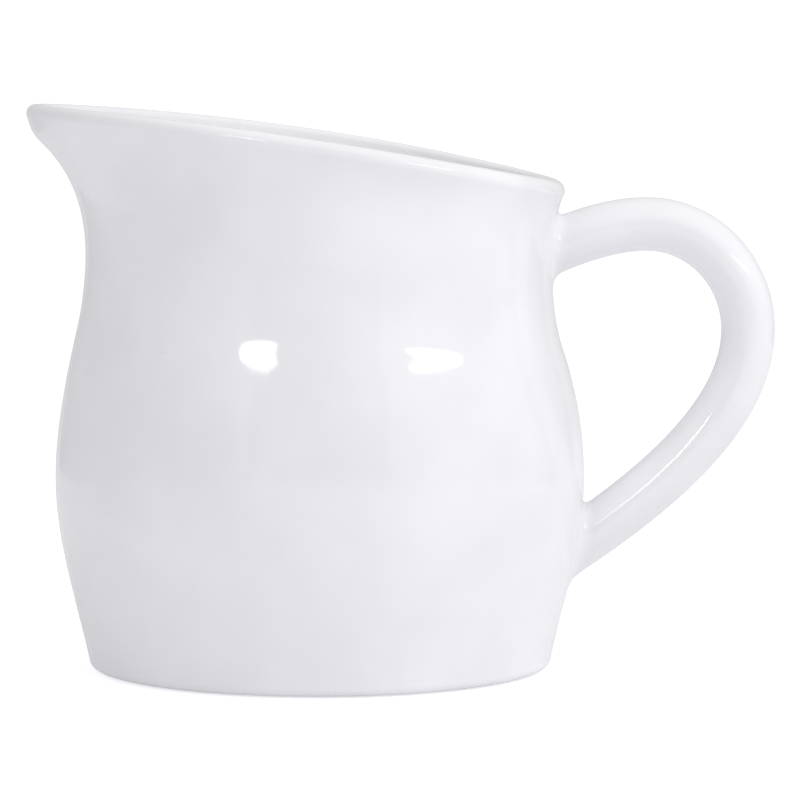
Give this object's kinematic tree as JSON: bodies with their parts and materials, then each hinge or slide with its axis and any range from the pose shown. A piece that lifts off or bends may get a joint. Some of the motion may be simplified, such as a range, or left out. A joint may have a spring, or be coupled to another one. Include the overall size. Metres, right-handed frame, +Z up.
{
  "type": "ceramic pitcher",
  "caption": "Rounded white glazed stoneware pitcher with a slanted rim, a broad pulled spout and a loop handle luted on opposite the spout.",
  "frame": {"origin": "middle of the footprint's bounding box, on the surface that the pitcher stands on", "axes": "+Z up, +X from the spout to the handle, +Y across the pitcher; the turning axis of the body is at x = -0.0204 m"},
  "size_m": [0.1864, 0.1322, 0.1408],
  "materials": {
    "white_glaze": "glossy clear white glaze",
    "bare_clay": "unglazed, matt"
  },
  "bodies": {
    "root": {"jug_body": "white_glaze", "foot_ring": "bare_clay", "handle": "white_glaze", "upper_handle_joint": "white_glaze", "lower_handle_joint": "white_glaze"}
  },
  "joints": []
}
